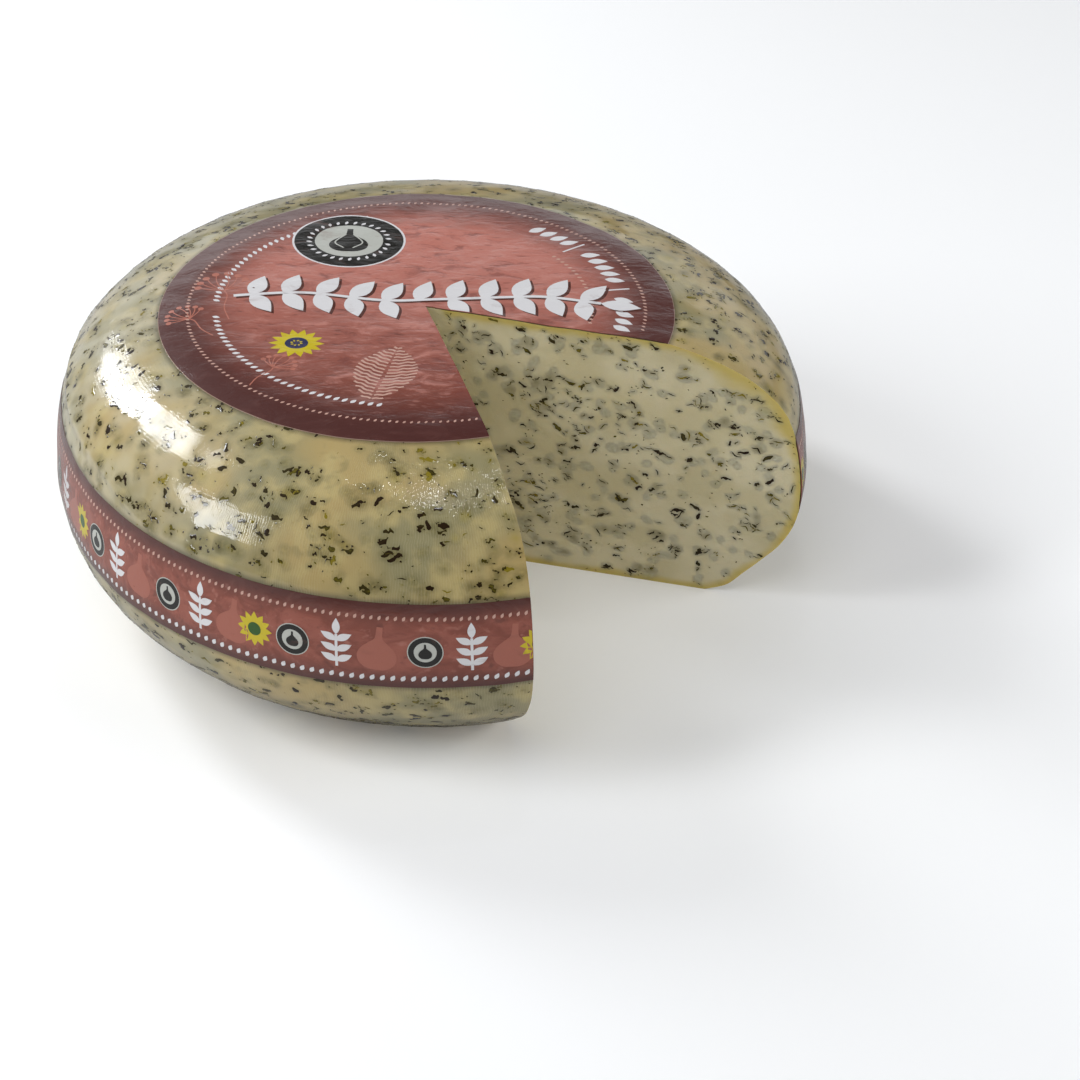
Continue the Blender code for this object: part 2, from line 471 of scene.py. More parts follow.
# The upright line where the cuts meet, then each cut's inner points.
apex_top = top_skin(np.array(CUT_APEX[0]), np.array(CUT_APEX[1]), -BED_DEPTH)
apex_base = np.array([*CUT_APEX, 0.0])
apex_line = np.linspace(apex_top, apex_base, SIDE_ROWS + 1)
line_numbers = ring_count * ring_size + np.arange(SIDE_ROWS + 1)
next_number = line_numbers[-1] + 1
cut_faces = []
cuts = []
cut_rims = []
cut_grids = []
cut_places = []
for column, turn in ((0, -1), (COLUMNS, 1)):
    edge = rings[:, column]
    numbers = np.arange(ring_count) * ring_size + column
    flat = np.array([math.cos(angles[column]), math.sin(angles[column]), 0.0])
    outward = turn * np.array([-flat[1], flat[0], 0.0])
    grid = coons(
        np.vstack([apex_top, edge[: shoulder_row + 1]]),
        np.vstack([apex_base, edge[heel_row:][::-1]]),
        apex_line,
        edge[shoulder_row : heel_row + 1],
    )
    outline = np.stack([(edge - apex_base) @ flat, edge[:, 2]], axis=1)
    reach = (grid - apex_base) @ flat
    rim = rim_distance(reach, grid[..., 2], outline)
    grid = grid + knife_marks(reach, grid[..., 2], np.minimum(rim, reach))[..., None] * outward
    grid_numbers = np.zeros(grid.shape[:2], dtype=int)
    grid_numbers[:, 0] = line_numbers
    grid_numbers[0, 1:] = numbers[: shoulder_row + 1]
    grid_numbers[-1, 1:] = numbers[heel_row:][::-1]
    grid_numbers[:, -1] = numbers[shoulder_row : heel_row + 1]
    inner = np.s_[1:-1, 1:-1]
    inner_shape = grid[inner].shape[:2]
    grid_numbers[inner] = next_number + np.arange(math.prod(inner_shape)).reshape(inner_shape)
    next_number += math.prod(inner_shape)
    cut_rims.append(look_of_rim(rim, reach, grid[..., 2])[inner].ravel())
    cut_places.append(np.stack([reach[inner].ravel(), grid[inner][..., 2].ravel()], axis=1))
    cut_grids.append(grid[inner].reshape(-1, 3))
    cuts.append((outline, flat, outward))
    upper, lower = grid_numbers[:-1], grid_numbers[1:]
    corners = (upper[:, :-1], upper[:, 1:], lower[:, 1:], lower[:, :-1])
    cut_faces.append(np.stack([corner.ravel() for corner in corners], axis=1))
around = np.arange(COLUMNS)
last_ring = (ring_count - 1) * ring_size
rind_faces = [
    grid_quads(ring_count, ring_size),
    np.stack([np.full(COLUMNS, line_numbers[0]), around, around + 1], axis=1),
    np.stack([np.full(COLUMNS, line_numbers[-1]), last_ring + around + 1, last_ring + around], axis=1),
]

# Where the herbs are. Chips of chopped leaf and stalk lie through the cheese in small groups, from
# specks to strokes of 4 mm, level in the paste and on the wall. Most are laid open by the skin and
# the cuts. The others lie just below and show only as a soft dark or yellow stain.
RIND_GROUPS = 4600
CUT_GROUPS = 760
GROUP_SIZES = (1, 1, 1, 2, 3, 5)
GROUP_SPREAD = 1.5
LAID_OPEN = 0.8
CHIP_SHORTEST = 0.5
CHIP_LONGEST = 3.8
CHIP_STATIONS = 5
CHIP_LIFTS = (0.03, 0.08, 0.03, -0.15)
STAIN_CORNERS = 10
STAIN_LIFTS = (0.02, 0.016, 0.006, -0.12)
STAIN_FROM_LENGTH = 1.0
STAIN_FARTHEST = 6.0
STAIN_ON_CUT = 0.36
YELLOW_TONE = 0.72
HERB_SEED = 5


def draw_chips(draw, across, along, turns, stroke_share, slim):
    """Chips in small groups round these centres, in the plane of the surface.

    A chip is a thin bent stroke or a stout crumb. Its spine runs end to end with a bend and a
    wiggle, and at each station its sides stand off the spine by ragged half widths.
    """
    group = np.repeat(np.arange(len(across)), draw.choice(GROUP_SIZES, len(across)))
    count = len(group)
    one_each = (count, 1)
    middle = np.stack([across[group], along[group]], axis=1)
    middle += draw.normal(0, GROUP_SPREAD, (count, 2)) * (1.0, 0.55)
    is_stroke = draw.random(one_each) < stroke_share
    long = CHIP_SHORTEST * (CHIP_LONGEST / CHIP_SHORTEST) ** (draw.random(one_each) ** 1.7)
    stout = np.where(is_stroke, draw.uniform(3.0, 7.0, one_each), draw.uniform(0.9, 2.3, one_each))
    wide = slim * np.clip(long / stout, 0.35, 1.6)
    bend = np.where(is_stroke, 0.32, 0.08) * draw.uniform(-1, 1, one_each)
    wiggle = np.where(is_stroke, 0.10, 0.02) * draw.uniform(-1, 1, one_each)
    t = np.linspace(0, 1, CHIP_STATIONS)
    x = long * (t - 0.5 + draw.uniform(-0.06, 0.06, (count, CHIP_STATIONS)))
    ripple = wiggle * np.sin(9.5 * t + draw.uniform(0, 6, one_each))
    y = long * (bend * (4 * t * (1 - t) - 0.67) + ripple)
    taper = np.where(is_stroke, 0.25, 0.6) + np.where(is_stroke, 0.75, 0.4) * np.sin(math.pi * t)
    each_side = (2, count, CHIP_STATIONS)
    ragged = np.where(is_stroke, draw.uniform(0.5, 1.3, each_side), draw.uniform(0.1, 1.6, each_side))
    left, right = wide / 2 * taper * ragged
    corners = [np.stack([x, y + side], axis=-1) for side in (left, 0, -right, 0)]
    return {
        "middle": middle,
        "turn": turns[group] + draw.normal(0, 0.5, count),
        "long": long[:, 0],
        "wide": wide[:, 0],
        "tone": 0.6 * draw.random(len(across))[group] + 0.4 * draw.random(count),
        "open": draw.random(count) < LAID_OPEN,
        "corners": np.stack(corners, axis=2),
        "strength": draw.uniform(0.5, 1.4, count),
    }


def pick(chips, chosen):
    """The chosen ones of the chips."""
    return {name: values[chosen] for name, values in chips.items()}


def turned(chips, places):
    """Places about each chip's middle, turned with the chip and moved to it."""
    shape = (-1,) + (1,) * (places.ndim - 2)
    cos, sin = np.cos(chips["turn"]).reshape(shape), np.sin(chips["turn"]).reshape(shape)
    x, y = places[..., 0], places[..., 1]
    moved = np.stack([x * cos - y * sin, x * sin + y * cos], axis=-1)
    return moved * chips["squeeze"].reshape(shape + (2,)) + chips["middle"].reshape(shape + (2,))


def stain_reach(chips):
    """How far a stain reaches past its chip's ends and sides: further where the chip is buried."""
    return np.where(chips["open"], 0.45, 0.9) * (0.6 + 0.5 * chips["strength"])


def stain_field(points, chips):
    """How far herbs stain points of the surface: 1 less e to the minus sum of the chips' bells.

    The chips are taken in groups that lie near each other, each with the points round it.
    """
    reach = stain_reach(chips)
    depth = np.where(chips["open"], 0.55, 0.8) * chips["strength"]
    axes = np.stack([0.4 * chips["long"] + reach, 0.4 * chips["wide"] + reach], axis=1)
    total = np.zeros(len(points))
    order = np.argsort(chips["middle"][:, 0])
    for part in np.array_split(order, len(order) // 30 + 1):
        places = chips["middle"][part]
        low, high = places.min(axis=0) - STAIN_FARTHEST, places.max(axis=0) + STAIN_FARTHEST
        close = np.flatnonzero(np.all((points > low) & (points < high), axis=1))
        if len(close):
            gap = (points[close][:, None] - places) / chips["squeeze"][part]
            cos, sin = np.cos(chips["turn"][part]), np.sin(chips["turn"][part])
            along = gap[..., 0] * cos + gap[..., 1] * sin
            across = gap[..., 1] * cos - gap[..., 0] * sin
            bells = np.exp(-((along / axes[part, 0]) ** 2) - (across / axes[part, 1]) ** 2)
            total[close] += bells @ depth[part]
    return 1 - np.exp(-total)


def stains(points, chips):
    """The stain of the dark chips and that of the yellow ones, at points of the surface."""
    flat = points.reshape(-1, 2)
    yellow = chips["tone"] > YELLOW_TONE
    fields = [stain_field(flat, pick(chips, chosen)) for chosen in (~yellow, yellow)]
    return [field.reshape(points.shape[:-1]) for field in fields]


def stain_patches(chips):
    """Oval patches over the larger stains: a middle, two rings of corners and a middle below."""
    shown = pick(chips, (chips["long"] > STAIN_FROM_LENGTH) | ~chips["open"])
    reach = 1.9 * stain_reach(shown)[:, None, None]
    turn = np.linspace(0, 2 * math.pi, STAIN_CORNERS, endpoint=False)
    axes = np.stack([0.5 * shown["long"], 0.5 * shown["wide"]], axis=1)[:, None] + reach
    rim = np.stack([np.cos(turn), np.sin(turn)], axis=-1) * axes
    core = 0 * rim[:, :1]
    return turned(shown, np.concatenate([core, 0.5 * rim, rim, core], axis=1))


def inside_outline(across, height, outline):
    """True inside a closed outline: a level ray from there crosses it an odd number of times."""
    start, end = outline, np.roll(outline, -1, axis=0)
    spans = (start[:, 1] > height[:, None]) != (end[:, 1] > height[:, None])
    rise = np.where(end[:, 1] == start[:, 1], 1.0, end[:, 1] - start[:, 1])
    crossing = start[:, 0] + (height[:, None] - start[:, 1]) * (end[:, 0] - start[:, 0]) / rise
    return (spans & (crossing > across[:, None])).sum(axis=1) % 2 == 1


def closed_outline(cut):
    """A cut's outline, home down the upright line where the cuts meet."""
    return np.vstack([cut[0], [(0.0, 0.0), (0.0, apex_top[2])]])


def cut_surface(cut, reach, height, lift):
    """Points of a cut's surface, from the distance along it and the height."""
    outline, flat, outward = cut
    rim = np.minimum(rim_distance(reach, height, outline), reach)
    out = knife_marks(reach, height, rim) + lift
    up = np.array([0.0, 0.0, 1.0])
    return apex_base + reach[..., None] * flat + height[..., None] * up + out[..., None] * outward


def rind_surface(places, lift):
    """Points of the skin, from millimetres round the wheel and up its profile."""
    angle = np.clip(places[..., 0] / WHEEL_RADIUS, angles[0], angles[-1])
    return side_skin(angle, places[..., 1], lift)


draw = np.random.default_rng(HERB_SEED)
around = draw.uniform(angles[0], angles[-1], RIND_GROUPS) * WHEEL_RADIUS
length = draw.uniform(2.0, bed_end + 4.0, RIND_GROUPS)
radius = np.interp(length, profile_length, profile[:, 0])
kept = draw.random(RIND_GROUPS) < radius / WHEEL_RADIUS
around, length = around[kept], length[kept]
on_wall = smooth_step(radius[kept], 98, 118)
turns = draw.normal(0, 0.45, len(around)) * on_wall
turns += draw.uniform(-1.57, 1.57, len(around)) * (1 - on_wall)
rind_herbs = draw_chips(draw, around, length, turns, 0.22, 1.0)
radius = np.interp(rind_herbs["middle"][:, 1], profile_length, profile[:, 0])
rind_herbs["squeeze"] = np.stack([WHEEL_RADIUS / radius, np.ones(len(radius))], axis=1)
cut_herbs = []
for outline in map(closed_outline, cuts):
    reach = draw.uniform(0.5, 126.0, CUT_GROUPS)
    height = draw.uniform(0.5, 94.0, CUT_GROUPS)
    kept = inside_outline(reach, height, outline)
    chips = draw_chips(draw, reach[kept], height[kept], draw.normal(0, 0.4, kept.sum()), 0.6, 0.74)
    chips["strength"] *= STAIN_ON_CUT
    chips["squeeze"] = np.ones_like(chips["middle"])
    cut_herbs.append(pick(chips, inside_outline(*chips["middle"].T, outline)))

# The rind: cream goat cheese, grey-green in wide soft clouds, under a clear food coating. Herbs
# below the skin show as soft stains. The coating keeps the weave of the cloth it was rubbed down
# with as upright hairlines, and finer flecks and dents glint where a lamp is mirrored.
HAIRLINE_PITCH = 0.8
THREAD_PITCH = 1.2
MOST_RUBBED = (7.0, -101.0, 85.5)
RUBBED_REACH = (22.0, 10.0)
COATING = {"Coat Weight": 1.0, "Coat IOR": 1.5}
SMOOTH = {"interpolation_type": "SMOOTHSTEP"}

# Each pattern's size in millimetres, and its detail.
RIND_PATTERNS = {
    "clouds": (34.0, 1.0),
    "worked": (22.0, 2.0),
    "sheen_patches": (15.0, 2.0),
    "mottles": (11.0, 2.0),
    "wander": (9.0, 2.0),
    "freckles": (6.0, 2.0),
    "lumps": (3.5, 2.0),
    "dents": (1.6, 2.0),
    "grain": (1.3, 3.0),
}


def millimetres(tree, stretch=(1.0, 1.0, 1.0)):
    """The point's place on the object, in millimetres, squeezed by a factor along each axis."""
    place = add(tree, "TexCoord", out="Object")
    return add(tree, "VectorMath", place, tuple(s / MM for s in stretch), operation="MULTIPLY")


def attributes(tree, *names):
    """Numbers that are stored for each point of the piece."""
    return [add(tree, "Attribute", attribute_name=name, out="Fac") for name in names]


def sum_up(tree, total, *terms):
    """A total with terms added to it, each a pattern times its size."""
    for pattern, size in terms:
        total = add(tree, "Math", pattern, size, total, operation="MULTIPLY_ADD")
    return total


def lay_over(tree, colour, *layers):
    """A colour with others over it in turn, each by a pattern.

    A layer has none of its colour at the pattern's first level, which may be the higher one, and
    smoothly more up to its full share at the second.
    """
    for code, pattern, none_at, full_at, share in layers:
        part = add(tree, "MapRange", pattern, none_at, full_at, 0.0, share, **SMOOTH)
        colour = add(tree, "Mix", part, colour, code, data_type="RGBA")
    return colour


def add_bump(tree, shader, height):
    """Relief of this many millimetres, on the surface and on its clear coating."""
    bump = add(tree, "Bump", 1.0, MM, None, height)
    tree.links.new(bump, shader.inputs["Normal"])
    tree.links.new(bump, shader.inputs["Coat Normal"])


def stain(tree, colour, grain, dark_code, yellow_code):
    """A colour with the herbs' dark and yellow stains over it, the dark broken up by the grain."""
    dark, yellow = attributes(tree, "dark_stain", "yellow_stain")
    tinge = sum_up(tree, 0.0, (dark, 0.35), (yellow, 0.7))
    yellowed = add(tree, "Mix", tinge, colour, yellow_code, data_type="RGBA")
    broken = add(tree, "MapRange", grain, 0.20, 0.62, 0.0, 0.8, **SMOOTH)
    share = add(tree, "Math", dark, broken, operation="MULTIPLY")
    return add(tree, "Mix", share, yellowed, dark_code, data_type="RGBA")


rind, tree, shader = finish("coated_rind", {
    **COATING,
    "Roughness": 0.45,
    "Subsurface Weight": 0.18,
    "Subsurface Radius": (1.0, 0.8, 0.5),
    "Subsurface Scale": 0.0015,
    "Specular IOR Level": 0.2,
    "Coat Roughness": 0.04,
})
place = millimetres(tree)
around, upward, print_edge, dark = attributes(tree, "around", "upward", "print_edge", "dark_stain")
across = add(tree, "SeparateXYZ", place, out="X")
noise = {
    name: add(tree, "TexNoise", place, 1 / size, detail)
    for name, (size, detail) in RIND_PATTERNS.items()
}
# The grey-green clouds thin out towards +x, so the rind is lighter and warmer to the right.
rightward_thinning = add(tree, "MapRange", across, -90.0, 70.0, 0.0, 0.14, **SMOOTH)
green_clouds = add(tree, "Math", noise["clouds"], rightward_thinning, operation="SUBTRACT")
colour = lay_over(
    tree,
    "#b39d69",
    ("#948c67", green_clouds, 0.30, 0.53, 1.0),
    ("#bba974", noise["mottles"], 0.44, 0.68, 0.8),
    ("#8c8259", noise["freckles"], 0.56, 0.72, 0.5),
)
# Painted sheen: the rind's left side is whitened towards a pale grey in broken patches. It stands in
# for the white surroundings mirrored in the coating at grazing angles.
painted_sheen = add(tree, "MapRange", across, -25.0, -110.0, 0.0, 0.55, **SMOOTH)
sheen_breakup = add(tree, "MapRange", noise["sheen_patches"], 0.3, 0.6, **SMOOTH)
painted_sheen = add(tree, "Math", painted_sheen, sheen_breakup, operation="MULTIPLY")
colour = add(tree, "Mix", painted_sheen, colour, "#bbb59f", data_type="RGBA")
# Olive specks from the grain, and painted shade: the rind darkens to a dull olive-grey within 2.2 mm of
# the label's and band's edges, as a shadow along the prints.
colour = lay_over(
    tree,
    stain(tree, colour, noise["grain"], "#5b573a", "#a08d2c"),
    ("#7d6f2e", noise["grain"], 0.66, 0.76, 0.6),
    ("#4d4636", print_edge, -2.2, 0.0, 0.6),
)

# The weave: sine waves round the wheel and up it, which wander with the cloth.
slips = add(tree, "TexNoise", millimetres(tree, (1.0, 1.0, 0.15)), 1 / 1.5)
swing = sum_up(tree, around, (noise["wander"], 2.5), (slips, 0.9))
hairlines, threads = (
    add(tree, "Math", sum_up(tree, 0.0, (run, 2 * math.pi / pitch)), operation="SINE")
    for run, pitch in ((swing, HAIRLINE_PITCH), (upward, THREAD_PITCH))
)
worked = add(tree, "MapRange", noise["worked"], 0.37, 0.57, **SMOOTH)
# Painted highlight: pale lines along the hairlines where the cloth worked the coating, on top of their
# relief.
painted_hairline_light = add(tree, "MapRange", hairlines, 0.2, 0.9, 0.0, 0.10, **SMOOTH)
painted_hairline_light = add(tree, "Math", painted_hairline_light, worked, operation="MULTIPLY")
colour = add(tree, "Mix", painted_hairline_light, colour, "#d8cfae", data_type="RGBA")
tree.links.new(colour, shader.inputs["Base Color"])
weave = sum_up(tree, hairlines, (threads, 0.35))
weave_height = sum_up(tree, 0.001, (worked, 0.008))

# The flecks, soft lumps and dents of the coating, highest where it was rubbed most.
away = add(tree, "VectorMath", place, MOST_RUBBED, operation="DISTANCE")
rubbed = add(tree, "MapRange", away, *RUBBED_REACH, **SMOOTH)
flecks = add(tree, "TexNoise", millimetres(tree, (1.0, 1.0, 0.4)), 1 / 0.7, 1.0)
add_bump(tree, shader, sum_up(
    tree,
    0.0,
    (weave, weave_height),
    (flecks, sum_up(tree, 0.0, (rubbed, 0.045), (worked, 0.02))),
    (noise["lumps"], 0.03),
    (noise["dents"], sum_up(tree, 0.02, (rubbed, 0.01))),
    (dark, 0.02),
))

# The cut paste: pale, close and moist, with no coating. Just under the rind it is yellower, and
# herbs behind the cut show through as soft grey stains.
paste, tree, shader = finish("cut_paste", {
    "Roughness": 0.5,
    "Subsurface Weight": 0.35,
    "Subsurface Radius": (1.0, 0.7, 0.4),
    "Subsurface Scale": 0.002,
    "Specular IOR Level": 0.35,
})
place = millimetres(tree, (1.0, 1.0, 1.4))
clouds, bulges, grain = (
    add(tree, "TexNoise", place, 1 / size, detail)
    for size, detail in ((20.0, 2.0), (16.0, 2.0), (1.5, 3.0))
)
depth = sum_up(tree, *attributes(tree, "rim"), (bulges, 9.0))
colour = lay_over(
    tree,
    "#c6bb96",
    ("#d2c8a7", clouds, 0.36, 0.64, 1.0),
    ("#c3ad55", depth, 11.5, 5.0, 0.85),
)
colour = stain(tree, colour, grain, "#5c5d3f", "#a79a48")
tree.links.new(colour, shader.inputs["Base Color"])
add_bump(tree, shader, sum_up(tree, 0.0, (grain, 0.10)))

faces = rind_faces + cut_faces
slots = np.concatenate([np.full(len(f), int(k >= len(rind_faces))) for k, f in enumerate(faces)])
points = np.vstack([rings.reshape(-1, 3), apex_line, *cut_grids])
cheese = make_piece("cheese", points * MM, faces, (rind, paste), slots)
ring_length = np.vstack([row_lengths, base_radius - PROFILE[0][0]])
ring_places = np.stack(np.broadcast_arrays(angles * WHEEL_RADIUS, ring_length), axis=-1)
inner_zeros = np.zeros(len(points) - ring_count * ring_size)
for name, values, inner in (
    ("around", ring_places[..., 0], inner_zeros),
    ("upward", ring_places[..., 1], inner_zeros),
    ("print_edge", edge_of_prints(rings, ring_length), inner_zeros - 50.0),
):
    store(cheese, name, np.concatenate([values.ravel(), inner]))
line_places = np.stack([0 * apex_line[:, 2], apex_line[:, 2]], axis=1)
line_rim = look_of_rim(rim_distance(*line_places.T, cuts[0][0]), *line_places.T)
store(cheese, "rim", np.concatenate([np.zeros(ring_count * ring_size), line_rim, *cut_rims]))
marks = [stains(ring_places.reshape(-1, 2), rind_herbs), stains(line_places, cut_herbs[0])]
marks += [stains(places, chips) for places, chips in zip(cut_places, cut_herbs)]
for name, parts in zip(("dark_stain", "yellow_stain"), zip(*marks)):
    store(cheese, name, np.concatenate(parts))
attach(cheese, "root")
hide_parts("cheese_wheel")


# The stains round the herbs, where they are finer than the cheese's own mesh can show: oval
# patches of the same rind and paste, a few hundredths of a millimetre proud, that fade out into it.
def fan_faces(rings, corners):
    """Faces of a patch: a fan round its middle, quads between its rings, and a fan home below."""
    this = np.arange(corners)
    following = (this + 1) % corners
    last = 1 + (rings - 1) * corners
    fans = [np.stack([0 * this, 1 + this, 1 + following], axis=1)]
    fans.append(np.stack([0 * this + last + corners, last + following, last + this], axis=1))
    step = np.stack([this, corners + this, corners + following, following], axis=1)
    return np.vstack(fans), np.vstack([first + step for first in range(1, last, corners)])


def repeated(faces, count, step):
    """The same faces for so many copies of a small body, whose points are numbered in steps."""
    return (faces[None] + np.arange(count)[:, None, None] * step).reshape(-1, faces.shape[1])


def make_bodies(name, points, faces, made_of):
    """One piece of many small bodies of the same build, which rides on the cheese."""
    count, size = points.shape[:2]
    faces = [repeated(part, count, size) for part in faces]
    piece = make_piece(name, points.reshape(-1, 3) * MM, faces, (made_of,))
    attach(piece, "root")
    return piece


def within(places, low, high):
    """True for the bodies whose points all lie between two limits."""
    flat = places.reshape(len(places), -1)
    return (flat.min(axis=1) > low) & (flat.max(axis=1) < high)


def show_patches(name, surfaces, made_of):
    """One piece of stain patches, from each surface's chips, its function and its test."""
    batches = []
    lift = np.repeat(STAIN_LIFTS, (1, STAIN_CORNERS, STAIN_CORNERS, 1))
    for chips, surface, shows in surfaces:
        places = stain_patches(chips)
        places = places[shows(places)]
        batches.append((places, surface(places, lift), np.stack(stains(places, chips), axis=-1)))
    places, points, marks = (np.concatenate(parts) for parts in zip(*batches))
    piece = make_bodies(name, points, fan_faces(2, STAIN_CORNERS), made_of)
    store(piece, "dark_stain", marks[..., 0])
    store(piece, "yellow_stain", marks[..., 1])
    return piece, places


def rind_shows(places):
    """True for bodies that lie on the open rind, clear of the prints and of both cuts."""
    across, length = places[..., 0], places[..., 1]
    return (
        (edge_of_prints(rind_surface(places, 0.0), length).max(axis=1) < 0.8)
        & within(across, angles[0] * WHEEL_RADIUS + 0.3, angles[-1] * WHEEL_RADIUS - 0.3)
        & within(length, 0.5, profile_length[-1])
    )


def shows_on(cut):
    """A test for bodies that lie on this cut, clear of its outline."""
    outline = closed_outline(cut)

    def test(places):
        flat = places.reshape(-1, 2)
        far = inside_outline(*flat.T, outline) & (rim_distance(*flat.T, outline) > 0.25)
        return far.reshape(places.shape[:-1]).all(axis=1)

    return test


def surface_of(cut):
    """The function from places on this cut and a lift to points."""
    return lambda places, lift: cut_surface(cut, places[..., 0], places[..., 1], lift)


rind_parts = [(rind_herbs, rind_surface, rind_shows)]
cut_parts = [(chips, surface_of(cut), shows_on(cut)) for chips, cut in zip(cut_herbs, cuts)]
rind_stains, places = show_patches("rind_stains", rind_parts, rind)
store(rind_stains, "around", places[..., 0])
store(rind_stains, "upward", places[..., 1])
store(rind_stains, "print_edge", edge_of_prints(rind_surface(places, 0.0), places[..., 1]))
cut_stains, places = show_patches("cut_stains", cut_parts, paste)
reach, height = places[..., 0], places[..., 1]
store(cut_stains, "rim", look_of_rim(rim_distance(reach, height, cuts[0][0]), reach, height))


# The herbs laid open: each chip is a low closed body, seated in the surface. Under the coating
# they look glossy, and on the cuts they are dull.
def show_chips(name, surfaces, made_of):
    """One piece of chips. Each is a ring of four corners carried along its stations and closed."""
    batches = []
    lift = np.tile(CHIP_LIFTS, CHIP_STATIONS)
    lift[2:4] *= 0.5
    for chips, surface, shows in surfaces:
        shown = pick(chips, chips["open"])
        places = turned(shown, shown["corners"].reshape(len(shown["long"]), -1, 2))
        keep = shows(places)
        batches.append((surface(places[keep], lift), shown["tone"][keep]))
    points, tone = (np.concatenate(parts) for parts in zip(*batches))
    this = np.arange(4)
    following = (this + 1) % 4
    side = np.stack([this, following, 4 + following, 4 + this], axis=1)
    last = 4 * (CHIP_STATIONS - 1)
    ends = [[(3, 2, 1, 0)], [(last, last + 1, last + 2, last + 3)]]
    quads = np.vstack([side + first for first in range(0, last, 4)] + ends)
    piece = make_bodies(name, points, [quads], made_of)
    store(piece, "tone", np.repeat(tone, points.shape[1]))
    store(piece, "spine", np.tile([0.0, 1.0, 0.0, 0.0], CHIP_STATIONS * len(points)))


def herb_finish(name, sockets):
    """Chopped herb: near black, dark green, olive or yellow-green by its tone, darker at its rim."""
    made, tree, shader = finish(name, sockets)
    tone, spine = attributes(tree, "tone", "spine")
    patch = add(tree, "TexNoise", millimetres(tree), 1 / 0.8)
    tone = sum_up(tree, -0.15, (tone, 1.0), (patch, 0.3), (spine, 0.12))
    colour = lay_over(
        tree,
        "#2a1c0d",
        ("#383011", tone, 0.35, 0.62, 1.0),
        ("#5f5519", tone, 0.64, 0.78, 1.0),
        ("#857522", tone, 0.80, 0.92, 1.0),
    )
    tree.links.new(colour, shader.inputs["Base Color"])
    return made


show_chips("rind_herbs", rind_parts, herb_finish("herb_under_coating", {
    **COATING,
    "Roughness": 0.5,
    "Specular IOR Level": 0.1,
    "Coat Roughness": 0.08,
}))
show_chips("cut_herbs", cut_parts, herb_finish("cut_herb", {
    "Roughness": 0.6,
    "Specular IOR Level": 0.25,
}))


# The top label: a round of printed film on the flat top, under the rind's clear coating. Its print
# is terracotta with the look of worn slate, darkening to maroon towards the edge, where a hair of
# the bare film shows. It was cut through with the cheese.
LABEL_ROWS = 50
PRINT_LIFT = 0.12
PRINT_BACK = -0.1
SLATE_STRETCH = (0.55, 1.0, 1.0)
SCRATCH_STRETCH = (0.35, 1.2, 0.5)


def sheet_faces(rows, columns):
    """Faces of a thin sheet, whose rows run out over its face and home over its back."""
    k = np.arange(rows - 1)
    back = 2 * rows - 1 - k
    end = np.stack([k, k + 1, back - 1, back], axis=1) * columns
    return [grid_quads(2 * rows, columns), end, end[:, ::-1] + columns - 1]


def film_finish(name):
    """Printed film under the clear coating: the material, its nodes, its shader and its relief.

    The relief is worn slate: long low ridges with fine scratches over them.
    """
    made, tree, shader = finish(name, {
        **COATING,
        "Roughness": 0.45,
        "Specular IOR Level": 0.2,
        "Coat Roughness": 0.1,
    })
    slate = millimetres(tree, SLATE_STRETCH)
    relief = add(tree, "TexNoise", slate, 0.17, 6.0, 0.62, None, 0.6)
    scratches = add(tree, "TexNoise", millimetres(tree, SCRATCH_STRETCH), 1 / 1.5, 3.0)
    add_bump(tree, shader, sum_up(tree, 0.0, (relief, 0.35), (scratches, 0.05)))
    return made, tree, shader, relief, scratches


label_film, tree, shader, relief, scratches = film_finish("terracotta_film")
centred = add(tree, "VectorMath", millimetres(tree), (*LABEL_CENTRE, 0.0), operation="SUBTRACT")
across = add(tree, "SeparateXYZ", centred, out="X")
along = across.node.outputs["Y"]
from_centre = add(tree, "VectorMath", add(tree, "CombineXYZ", across, along), operation="LENGTH")
ragged = sum_up(tree, from_centre, (relief, 16.0))
# The print's colours, with painted sheen: the label grows lighter towards the back of the top (+y),
# where the coating mirrors the bright backdrop.
colour = lay_over(
    tree,
    "#7e4336",
    ("#c0796b", along, -75.0, 50.0, 1.0),
    ("#c48578", relief, 0.50, 0.68, 0.7),
    ("#74403a", relief, 0.48, 0.32, 0.6),
    ("#c58a7d", scratches, 0.58, 0.74, 0.5),
    ("#5f352c", scratches, 0.42, 0.26, 0.5),
    ("#4b2926", ragged, 58.0, 84.0, 0.92),
    ("#a08674", from_centre, LABEL_RADIUS - 0.25, LABEL_RADIUS - 0.1, 1.0),
)
tree.links.new(colour, shader.inputs["Base Color"])

shares = np.linspace(0, 1, LABEL_ROWS + 1)[1:, None]
reach = shares * ray_to_circle(angles, LABEL_CENTRE, LABEL_RADIUS)
across = CUT_APEX[0] + reach * np.cos(angles)
along = CUT_APEX[1] + reach * np.sin(angles)
face = top_skin(across, along, PRINT_LIFT)
back = top_skin(across, along, PRINT_BACK)[::-1]
tips = [top_skin(*np.array(CUT_APEX), lift) for lift in (PRINT_LIFT, PRINT_BACK)]
points = np.vstack([np.concatenate([face, back]).reshape(-1, 3), *tips])
over, under = len(points) - 2, len(points) - 1
last = (2 * LABEL_ROWS - 1) * ring_size
column = np.arange(COLUMNS)
ends = [
    np.array([(over, 0, last, under)]),
    np.array([(under, last + COLUMNS, COLUMNS, over)]),
    np.stack([np.full(COLUMNS, over), column, column + 1], axis=1),
    np.stack([np.full(COLUMNS, under), last + column + 1, last + column], axis=1),
]
label = make_piece("label", points * MM, sheet_faces(LABEL_ROWS, ring_size) + ends, (label_film,))
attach(label, "root")
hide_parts("top_label")

# The side band: a printed strip of the same film, glued round the wall and cut through with it.
# It is darker along both edges.
BAND_ROWS = 18
BAND_COLUMNS = 1100

